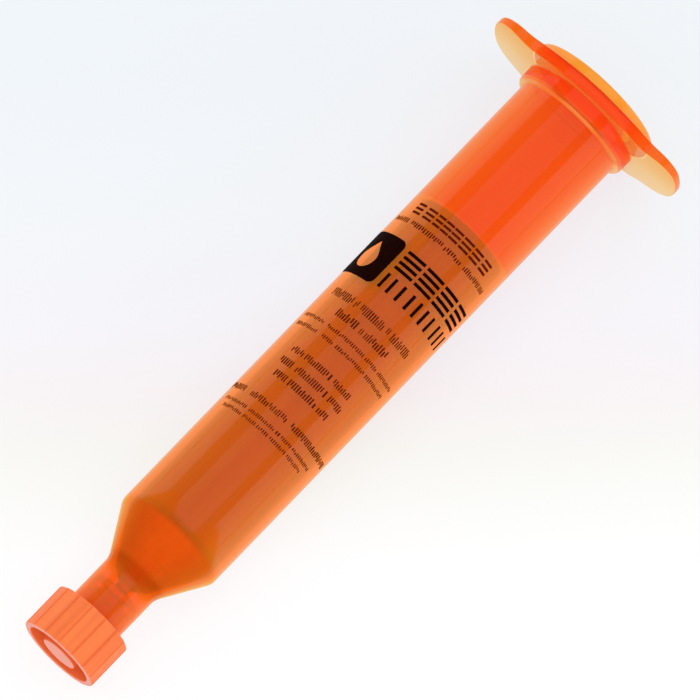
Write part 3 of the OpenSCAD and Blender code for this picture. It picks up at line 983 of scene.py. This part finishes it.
# %% Where the parts of the moulding are
def moulding_parts(add, place, degrees):
    """Shares from 0 to 1 that tell the parts of the moulding from each other: by the height,
    the way along the wings, the angle off the middle and the way a face looks."""
    z = place["Z"]
    along_wing = add("Math", [place["Y"]], operation="ABSOLUTE")
    flat_end = add("MapRange", [end_on(add), 0.5, 0.9], **SMOOTH)
    inner_side = add("NewGeometry", out="Backfacing")
    on_face = add("Math", [flat_end, inner_side], operation="MAXIMUM")
    off_face = add("Math", [1.0, on_face], operation="SUBTRACT")
    wing = add("MapRange", [along_wing, 5.5, 10], **SMOOTH)
    by_flange = add("MapRange", [z, FLANGE_T - 0.2, FLANGE_T - 0.05, 1, 0], **SMOOTH)
    by_middle = add("MapRange", [along_wing, 8, 14, 1, 0.2], **SMOOTH)
    rim = add("Math", [by_flange, off_face], operation="MULTIPLY")
    rim = add("Math", [rim, by_middle], operation="MULTIPLY")
    collar = between(add, z, FLANGE_T + 0.2, FLANGE_T + 0.4, COLLAR_END - 0.95, COLLAR_END - 0.6)
    # Painted highlight: a band on the collar's rounded edge by the tube, strongest on the barrel's
    # upper side
    lip = between(
        add, z, COLLAR_END - 0.45, COLLAR_END - 0.2, COLLAR_END + 0.03, COLLAR_END + 0.1
    )
    on_top = add("MapRange", [degrees, 10, 28, 1, 0.4], **SMOOTH)
    # The share for the rim and collar is thick plastic, and on the collar also painted shade under
    # the flange. The share on the collar's rounded edge carries a painted highlight.
    return {
        "wing": add("Math", [wing, on_face], operation="MULTIPLY"),
        "rim_and_shaded_collar": add("Math", [rim, collar], operation="MAXIMUM"),
        "lip": add("Math", [lip, on_top], operation="MULTIPLY"),
        "wet": between(
            add, z, FILL_LEVEL - 0.1, FILL_LEVEL + 0.3, CONE_START - 2, CONE_START + 0.5
        ),
        "cone": between(add, z, CONE_START - 1.2, CONE_START, CONE_END - 1, CONE_END + 0.5),
        "throat": between(
            add, z, CONE_END - 1.65, CONE_END - 0.55, CONE_END + 0.05, CONE_END + 0.95
        ),
        "neck": add("MapRange", [z, CONE_END + 0.75, CONE_END + 1.75], **SMOOTH),
    }


# %% Haze of the amber wall
def amber_haze(add, part, facing, at_limb):
    """0.22 + 0.35 facing cubed + 0.45 facing on the tube, and 0.25 + 1.15 facing cubed in
    the cone, streaked along the flow of the melt. It is thin on the wings and thick in the
    flange's rim and the collar, where on the collar it also carries painted shade under the
    flange. It is raised on the collar's rounded edge by the tube for a painted highlight."""
    haze = add("Math", [at_limb, 0.35, 0.22], operation="MULTIPLY_ADD")
    haze = add("Math", [facing, 0.45, haze], operation="MULTIPLY_ADD")
    cone_haze = add("Math", [at_limb, 1.15, 0.25], operation="MULTIPLY_ADD")
    haze = add("Mix", {0: part["cone"], 2: haze, 3: cone_haze})
    flow = mottle(add, 2.2, -0.03, 0.03, (1, 1, 0.06))
    haze = add("Math", [haze, flow], operation="ADD")
    haze = add("Math", [part["neck"], 0.1, haze], operation="MULTIPLY_ADD")
    haze = changed(add, haze, part["wing"], -0.75)
    haze = add("Mix", {0: part["rim_and_shaded_collar"], 2: haze, 3: 0.62})
    # More haze on that band, which shows the pale colour of the painted highlight
    return add("Math", [part["lip"], 0.42, haze], operation="MULTIPLY_ADD")


# %% Tint of what goes through the wall
def amber_tint(add, part, place, facing):
    """Deep orange, a little browner at the cone's limb, deeper round the throat, and pale where
    the thin wings are seen from their faces. Paler still on the wings towards the table, which
    is painted light."""
    cone_limb = add("MapRange", [facing, 0.35, 0.6], **SMOOTH)
    cone_limb = add("Math", [part["cone"], cone_limb], operation="MULTIPLY")
    # Painted light: the wings' faces get paler towards the table
    toward_table_light = add("MapRange", [place["X"], -6, 8], **SMOOTH)
    wing_tint = add("Mix", {0: toward_table_light, 6: "#FFD48C", 7: "#FFEFD0"}, **COLOURS)
    tint = add("Mix", {0: cone_limb, 6: "#FF6C08", 7: "#F27612"}, **COLOURS)
    tint = add("Mix", {0: part["throat"], 6: tint, 7: "#E45C08"}, **COLOURS)
    return add("Mix", {0: part["wing"], 6: tint, 7: wing_tint}, **COLOURS)


# %% Solid colour of what the wall scatters
def amber_solid(add, part, place, at_limb):
    """Orange, more ochre where fluid wets the wall and in the cone, paler at the limb, and
    redder in the flange's rim and the collar, which are thick. On the collar the darker red is
    also painted shade under the flange. A pale colour on the collar's rounded edge by the tube
    is a painted highlight."""
    limb = add("Mix", {0: part["cone"], 6: "#FFAC54", 7: "#F3BC50"}, **COLOURS)
    limb_share = add("Math", [part["cone"], 0.9, 0.6], operation="MULTIPLY_ADD")
    limb_share = add("Math", [at_limb, limb_share], operation="MULTIPLY", use_clamp=True)
    # Painted highlight: a pale colour on the collar's rounded edge by the tube
    lip_share = add("Math", [part["lip"], 0.2], operation="MULTIPLY")
    # Deep red on the rim and collar, which on the collar is also painted shade under the flange
    on_end = add("MapRange", [place["Z"], 0.15, 0.5, 1, 0], **SMOOTH)
    red = add("Mix", {0: on_end, 6: "#FF500A", 7: "#DC3A04"}, **COLOURS)
    solid = add("Mix", {0: part["wet"], 6: "#FF8A22", 7: "#FF9C28"}, **COLOURS)
    for share, colour in (
        (part["cone"], "#FF9224"),
        (part["throat"], "#F07C18"),
        (limb_share, limb),
        (lip_share, "#FFB868"),
        (part["wing"], "#FFC860"),
        (part["rim_and_shaded_collar"], red),
    ):
        solid = add("Mix", {0: share, 6: solid, 7: colour}, **COLOURS)
    return solid


# %% The barrel's outer skin
def amber_wall(name):
    """The clear plastic with all of these: haze, tint, solid colour and polish."""
    mat, add = material(name)
    place = upright_place(add)
    degrees = off_middle(add, place)
    facing = add("LayerWeight", [0.5], out="Facing")
    at_limb = add("Math", [facing, 3.0], operation="POWER")
    part = moulding_parts(add, place, degrees)
    haze = amber_haze(add, part, facing, at_limb)
    tint = amber_tint(add, part, place, facing)
    solid = amber_solid(add, part, place, at_limb)
    skin = polish(add, place["Z"], degrees)
    for key, change in (("wing", -0.4), ("rim_and_shaded_collar", -0.2), ("cone", -0.45), ("lip", 0.7)):
        skin = changed(add, skin, part[key], change)
    rough = mottle(add, 4.0, 0.04, 0.07, (1, 1, 0.3))
    clear_plastic(add, tint, solid, haze, rough, 1.41, skin)
    return mat


# %% The barrel's five skins
# The outer skin already holds the barrel's haze and gloss. So the rows of faces on the bore
# carry an inner skin, and those in the sleeve, on the nozzle and on the floor their own
dress(amber_wall("moulded_amber_polypropylene"), barrel)
dress(clear_skin("moulded_amber_polypropylene_bore", "#FFFFFF"), barrel)
dress(
    see_through(
        "moulded_amber_polypropylene_thread", "#FFF0E0", "#E87030", 0.02, 0.7, 0.2, 1.15
    ),
    barrel,
)
dress(
    see_through(
        "moulded_amber_polypropylene_nozzle", "#E89850", "#D06820", 0.1, 0.5, 0.2, 1.1
    ),
    barrel,
)
dress(clear_skin("moulded_amber_polypropylene_floor", "#F4D0A8"), barrel)
SKIN, BORE, THREAD, NOZZLE, FLOOR = range(5)
row_slots = [SKIN] * len(over_flange)
row_slots += [THREAD if r < SLEEVE_R + 0.05 else SKIN for r, _ in outside]
row_slots += [THREAD] * len(thread)
for r, z in inside:
    if r > 3.5 and z > SLEEVE_ROOT - 0.01:
        row_slots.append(THREAD)
    elif r > OUTLET_R + 0.1 and z > SLEEVE_ROOT - 0.3:
        row_slots.append(NOZZLE)
    elif OUTLET_R + 0.05 < r < FLOOR_R + 0.05 and z < SLEEVE_ROOT:
        row_slots.append(FLOOR)
    else:
        row_slots.append(BORE)
face_slots = np.repeat(row_slots, len(AROUND)).astype(np.int32)
barrel.data.polygons.foreach_set("material_index", face_slots)
print("faces in each skin", np.bincount(face_slots).tolist())

# %% [markdown]
# ## Solder mask
#
# The fluid is a thick opaque paint, stirred and filled, so it is softly clouded and has no
# grain. Through the amber wall it reads as brown. It looks deeper in a ring before the cone.
# In the cone it is lighter, most on the middle of its upper side, which is painted light. A
# volume that scatters light would be nearer to a real paint, but one this thick looks the
# same as an opaque skin.


# %% The fluid
def mask_fluid(name, colour, lit_top_colour, deep_colour):
    """Cloudy paint: a mix of three colours by the height and the angle off the middle. The lighter
    colour in the cone, most on the middle of its upper side, is painted light.
    """
    mat, add = material(name)
    place = upright_place(add)
    cloud = mottle(add, 6.0, -0.08, 0.08, (1, 1, 0.35))
    # Painted light: the fluid is lighter in the cone, most on the middle line of its upper side
    thin = add("MapRange", [place["Z"], SHOULDER_START - 0.8, SHOULDER_START + 0.6], **SMOOTH)
    middle = add("MapRange", [off_middle(add, place), 5, 58, 1, 0.15], **SMOOTH)
    thin = add("Math", [thin, middle], operation="MULTIPLY")
    thin = add("Math", [thin, cloud], operation="ADD", use_clamp=True)
    ring = [SHOULDER_START - 2, SHOULDER_START - 1.1, SHOULDER_START - 0.8, SHOULDER_START]
    deep = add("Math", [between(add, place["Z"], *ring), 0.7], operation="MULTIPLY")
    base = add("Mix", {0: thin, 6: colour, 7: lit_top_colour}, **COLOURS)
    base = add("Mix", {0: deep, 6: base, 7: deep_colour}, **COLOURS)
    body = add("BsdfPrincipled", {"Base Color": base, "Roughness": 0.3, "IOR": 1.2})
    add("OutputMaterial", [body], out=None)
    return mat


# The second colour is the painted light on the cone's upper side
dress(mask_fluid("wet_solder_mask", "#B09054", "#D4B474", "#907038"), column, cone_fluid)

# %% [markdown]
# ## Moulded polyethylene
#
# The piston is natural polyethylene, a soft milky plastic that is almost clear when wet.
# The end cap is yellow polyethylene, moulded thick, so its disc is nearly solid in colour.
# Its thin plug lets light through, and gets a clearer skin of its own. Subsurface
# scattering could give the milky look, but such thin walls need only a little haze, so
# all three are the clear plastic above with other colours.

# %% Piston, end cap and plug
dress(
    see_through("moulded_natural_polyethylene", "#FFFDFA", "#FFD8B0", 0.01, 0.06, 0.25, 1.03),
    piston,
)
dress(
    see_through("moulded_yellow_polyethylene", "#FFC060", "#FFA533", 0.55, 0.95, 0.12, 1.49),
    end_cap,
)
dress(
    see_through("moulded_yellow_polyethylene_plug", "#FFF0D8", "#FFC060", 0.01, 0.06, 0.25, 1.03),
    end_cap,
)
centres = np.empty(len(end_cap.data.polygons) * 3)
end_cap.data.polygons.foreach_get("center", centres)
height = (centres.reshape(-1, 3) * 1000 + [MID_X, 0, -AXIS_H]) @ ALONG
on_plug = (height > CAP_UNDER + 0.05).astype(np.int32)
end_cap.data.polygons.foreach_set("material_index", on_plug)
print("faces on the plug", int(on_plug.sum()), "of", len(on_plug))

# %% [markdown]
# ## Spark-eroded orange polypropylene
#
# The tip cap is opaque orange polypropylene from a mould with a spark-eroded skin, which
# gives the eye a fine matt grain. Its flat end face is paler. The colour gets deeper in
# streaks round the grip. Painted shade makes it deeper in the grip's grooves and on the stem
# inside the sleeve. The grain is drawn with grains of 0.12 mm, a little coarser than real,
# as finer ones don't show. A picture of a grain could be laid over the cap, but noise in
# millimetres has no seams and never repeats.


# %% The tip cap
def solid_plastic(name, colour, deeper, sleeve_shade_colour, pale):
    """Opaque plastic, deeper in streaks, and deeper where the cosine of 16 times the angle round
    the grip is near 1, which is in the grooves: painted shade. The stem inside the sleeve gets
    painted shade too, and the flat end face is paler."""
    mat, add = material(name)
    place = upright_place(add)
    turn = add("Math", [place["Y"], place["X"]], operation="ARCTAN2")
    turn = add("Math", [turn, GRIP_TURN], operation="SUBTRACT")
    turn = add("Math", [turn, float(RIBS)], operation="MULTIPLY")
    wave = add("Math", [turn], operation="COSINE")
    squares = [add("Math", [place[k], 2.0], operation="POWER") for k in "XY"]
    radius = add("Math", squares, operation="ADD")
    radius = add("Math", [radius], operation="SQRT")
    on_grip = add("MapRange", [radius, GRIP_R - 0.8, GRIP_R - 0.4], **SMOOTH)
    # Painted shade in the grip's grooves, added to random streaks
    groove = add("MapRange", [wave, 0.88, 1.0], **SMOOTH)
    groove = add("Math", [groove, 0.4], operation="MULTIPLY")
    streaks = mottle(add, 1.5, -0.25, 0.4, (1, 1, 0.04))
    share = add("Math", [groove, streaks], operation="ADD")
    share = add("Math", [share, on_grip], operation="MULTIPLY")
    share = add("Math", [share, mottle(add, 3.0, 0.0, 0.15)], operation="ADD", use_clamp=True)
    # Painted shade on the stem inside the sleeve
    in_sleeve_shade = add("MapRange", [place["Z"], GRIP_START - 0.7, GRIP_START - 0.2, 0.8, 0], **SMOOTH)
    at_end = add("MapRange", [place["Z"], GRIP_END - 1.0, GRIP_END - 0.5], **SMOOTH)
    end_face = add("MapRange", [end_on(add), 0.6, 0.95], **SMOOTH)
    end_face = add("Math", [end_face, at_end], operation="MULTIPLY")
    end_face = add("Math", [end_face, 0.8], operation="MULTIPLY")
    base = add("Mix", {0: share, 6: colour, 7: deeper}, **COLOURS)
    base = add("Mix", {0: in_sleeve_shade, 6: base, 7: sleeve_shade_colour}, **COLOURS)
    base = add("Mix", {0: end_face, 6: base, 7: pale}, **COLOURS)
    grain = mottle(add, 0.12, 0.0, 1.0, detail=2.0)
    bump = add("Bump", {"Height": grain, "Strength": 0.3, "Distance": 0.00001})
    rough = mottle(add, 1.0, 0.38, 0.5)
    body = add(
        "BsdfPrincipled", {"Base Color": base, "Roughness": rough, "Normal": bump, "IOR": 1.33}
    )
    add("OutputMaterial", [body], out=None)
    return mat


# The second colour is the streaks' deeper tone and the painted shade in the grooves, the third the
# painted shade on the stem inside the sleeve, the fourth the paler end face
orange = ("#FF7E40", "#DC5A24", "#C84C24", "#F4A090")
dress(solid_plastic("spark_eroded_orange_polypropylene", *orange), tip_cap)

# %% [markdown]
# ## Screen-printed ink
#
# A thin matt film, pressed through a screen. In small spots it is a little thin, and the
# amber under it turns it brown. The fine lines are thinner and browner than the bold ones.
# Plain black would be simpler, but it would look laid over the barrel and not printed on it.


# %% The ink
def printed_ink(name, colour, worn):
    """A matt film, mixed with its worn colour in spots of a quarter of a millimetre."""
    mat, add = material(name)
    spots = mottle(add, 0.25, -0.6, 0.7)
    spots = add("Math", [spots, 1.0], operation="MULTIPLY", use_clamp=True)
    base = add("Mix", {0: spots, 6: colour, 7: worn}, **COLOURS)
    rough = mottle(add, 0.8, 0.5, 0.7)
    body = add("BsdfPrincipled", {"Base Color": base, "Roughness": rough, "IOR": 1.06})
    add("OutputMaterial", [body], out=None)
    return mat


dress(printed_ink("screen_printed_ink", "#160300", "#2E0A02"), bold_ink, field_ink)
dress(printed_ink("screen_printed_ink_thin", "#521200", "#7A2A08"), fine_ink)

# %% [markdown]
# ## Camera
#
# A long lens looks down on the barrel from 12.5 degrees to the outlet's side. In the picture
# the barrel lies at 46 degrees. One pixel is about 0.15 mm. The camera's three directions
# are worked out from these angles, as three turns one after another are hard to check.

# %% The camera and where it aims
CAMERA_TILT = math.radians(12.5)
SLANT = math.radians(46.001)
PICTURE = 700
PIXEL = 0.14935
LENS = 1000.0
SENSOR = 36.0
UP = -DOWN
TO_CAMERA = (
    math.cos(CAMERA_TILT) * (math.sin(MIDDLE_TURN) * ACROSS + math.cos(MIDDLE_TURN) * UP)
    + math.sin(CAMERA_TILT) * ALONG
)
# The barrel's axis and the direction across it, both as the camera sees them
seen_along = ALONG - (ALONG @ TO_CAMERA) * TO_CAMERA
seen_along /= np.linalg.norm(seen_along)
seen_across = np.cross(TO_CAMERA, seen_along)
RIGHT = -math.cos(SLANT) * seen_along + math.sin(SLANT) * seen_across
HIGH = -math.sin(SLANT) * seen_along - math.cos(SLANT) * seen_across
# The picture's centre is a little off the middle of the barrel
aim = lie([0, 0, 51.32]) * 1000 - PIXEL * (7.7 * RIGHT + 5.5 * HIGH)
distance = PICTURE * PIXEL * LENS / SENSOR


def placed(obj, side, up, back, centre):
    """Puts a camera or lamp at a centre in metres, by the three directions of its axes."""
    rows = [[side[i], up[i], back[i], centre[i]] for i in range(3)]
    obj.matrix_world = Matrix(rows + [[0, 0, 0, 1]])
    bpy.context.scene.collection.objects.link(obj)


cam_data = bpy.data.cameras.new("camera")
cam_data.lens, cam_data.sensor_width = LENS, SENSOR
cam_data.clip_start, cam_data.clip_end = 0.1, 20
cam = bpy.data.objects.new("camera", cam_data)
placed(cam, RIGHT, HIGH, TO_CAMERA, (aim + TO_CAMERA * distance) / 1000)
bpy.context.scene.camera = cam
print("camera", round(distance / 1000, 3), "m from its aim")

# %% [markdown]
# ## Table and room
#
# The table is white, with a cooler far end. What the camera, gloss and clear plastic see of
# it is mostly its own glow, so that shadows on it stay soft; all other light meets plain
# white. The room is a pale grey that gloss sees dimmer, and the camera sees as white.
# Stronger lamps could whiten the table too, but they would wash out the plastic.

# %% Table top
floor_mesh = bpy.data.meshes.new("table_top")
floor_mesh.from_pydata([(-3, -3, 0), (3, -3, 0), (3, 3, 0), (-3, 3, 0)], [], [(0, 1, 2, 3)])
floor = bpy.data.objects.new("table_top", floor_mesh)
bpy.context.scene.collection.objects.link(floor)

table, add = material("white_table")
# How far down the picture a place on the table is, from 0 at the top to 1
downward = -HIGH * 1000 / PIXEL / PICTURE
way = (downward[0], downward[1], 0)
where = add("TexCoord", out="Object")
down = add("VectorMath", [where, way], out="Value", operation="DOT_PRODUCT")
middle = 0.5 + float(aim @ HIGH) / PIXEL / PICTURE
backdrop = add("ValToRGB", [add("Math", [down, middle], operation="ADD")])
stops = [(0.1, "#EBF1F6"), (0.3, "#EFF3F7"), (0.47, "#F3F2F8"), (0.56, "#F6F1F3"),
         (0.64, "#F6F6F2"), (0.72, "#FAFBF8"), (0.8, "#FFFFFF")]
elements = backdrop.node.color_ramp.elements
while len(elements) < len(stops):
    elements.new(0.5)
for element, (place, colour) in zip(elements, stops):
    element.position, element.color = place, hex_colour(colour)
soft = add("BsdfDiffuse", ["#7C7C7C"])
seen = add("AddShader", [soft, add("Emission", [backdrop, 0.81])])
ray = add("LightPath", out=None)
looked_at = add("Math", [ray["Is Camera Ray"], ray["Is Glossy Ray"]], operation="MAXIMUM")
looked_at = add("Math", [looked_at, ray["Is Transmission Ray"]], operation="MAXIMUM")
whole = add("MixShader", [looked_at, add("BsdfDiffuse", ["#EEEEEE"]), seen])
add("OutputMaterial", [whole], out=None)
dress(table, floor)

# %% Room
world = bpy.data.worlds.new("studio")
bpy.context.scene.world = world
world.use_nodes = True
add = node_adder(world.node_tree)
ray = add("LightPath", out=None)
room, dim = (add("Background", ["#F6F7F9", strength]) for strength in (0.7, 0.14))
lit = add("MixShader", [ray["Is Glossy Ray"], room, dim])
white = add("Background", ["#FFFFFF", 1.0])
add("OutputWorld", [add("MixShader", [ray["Is Camera Ray"], lit, white])], out=None)
print("world", len(world.node_tree.nodes), "nodes")

# %% [markdown]
# ## Lamps
#
# Three long soft boxes lie parallel to the barrel and draw the long reflections on its tube.
# A low box at the outlet's end brightens the wings' faces. Round lamps would draw spots,
# and a picture of a studio would be one more file to keep.


# %% Soft boxes
def soft_box(name, centre, facing, length_way, width, length, radiance):
    """A flat lamp in metres that shines away from facing. A flat lamp of area A and power P
    has radiance P / (A pi)."""
    facing = np.array(facing) / np.linalg.norm(facing)
    length_way = length_way - (length_way @ facing) * facing
    length_way /= np.linalg.norm(length_way)
    lamp = bpy.data.lights.new(name, "AREA")
    lamp.shape, lamp.size, lamp.size_y = "RECTANGLE", width, length
    lamp.energy = radiance * math.pi * width * length
    obj = bpy.data.objects.new(name, lamp)
    obj.visible_camera = False
    placed(obj, np.cross(length_way, facing), length_way, facing, centre)
    print(name, round(lamp.energy, 3), "W")


def strip_light(name, start_deg, end_deg, along_mm, length_mm, radiance, far=0.6):
    """A long soft box parallel to the barrel, seen from the axis between two angles counted
    from the middle line towards +Y."""
    mid = math.radians((start_deg + end_deg) / 2) + MIDDLE_TURN
    half = math.radians((end_deg - start_deg) / 2)
    out_way = math.sin(mid) * ACROSS + math.cos(mid) * UP
    centre = lie([0, 0, along_mm]) + out_way * far
    soft_box(name, centre, out_way, ALONG, 2 * far * math.tan(half), length_mm / 1000, radiance)


strip_light("light_over", -38, 24.4, -50, 1200, 0.6)
strip_light("light_left", -96, -67, -50, 1200, 0.9)
strip_light("light_right", 43.8, 80, -50, 1200, 1.0)
soft_box("light_end", (0.85, 0.05, 0.24), (0.96, 0, 0.27), ACROSS, 0.3, 0.7, 1.3)
# Light crosses many clear walls on its way to the table
bpy.context.scene.cycles.transparent_max_bounces = 32
bpy.context.scene.view_settings.view_transform = "Standard"
